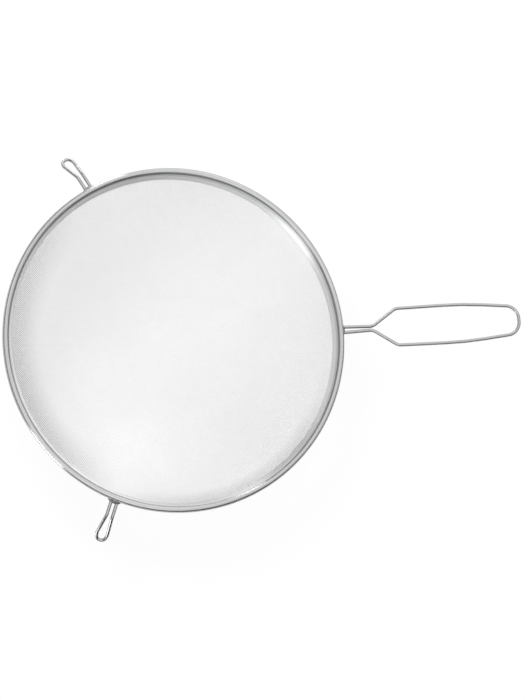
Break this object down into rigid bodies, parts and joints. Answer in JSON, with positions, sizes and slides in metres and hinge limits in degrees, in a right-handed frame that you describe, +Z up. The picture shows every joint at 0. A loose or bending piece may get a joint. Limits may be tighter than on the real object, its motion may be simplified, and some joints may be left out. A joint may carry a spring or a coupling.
{
  "type": "handled sieve",
  "caption": "Round fine-mesh kitchen sieve: a shallow woven steel bowl in a rolled rim, with a bent-wire loop handle and wire rest loops opposite it.",
  "frame": {"origin": "middle of the flat at the bottom of the bowl, on the surface that the sieve stands on", "axes": "+Z up through the bowl's mouth, +X out along the handle, +Y to the right of someone holding the handle"},
  "size_m": [0.4025, 0.2901, 0.0585],
  "materials": {
    "rim_steel": "rolled bright stainless strip",
    "core_steel": "plain drawn wire",
    "mesh_steel": "fine woven stainless wire",
    "wire_steel": "bright drawn stainless wire"
  },
  "bodies": {
    "root": {"rim_band": "rim_steel", "rim_core_wire": "core_steel", "mesh_bowl": "mesh_steel", "handle_wire": "wire_steel", "rest_loop_right": "wire_steel", "rest_loop_left": "wire_steel"}
  },
  "joints": []
}
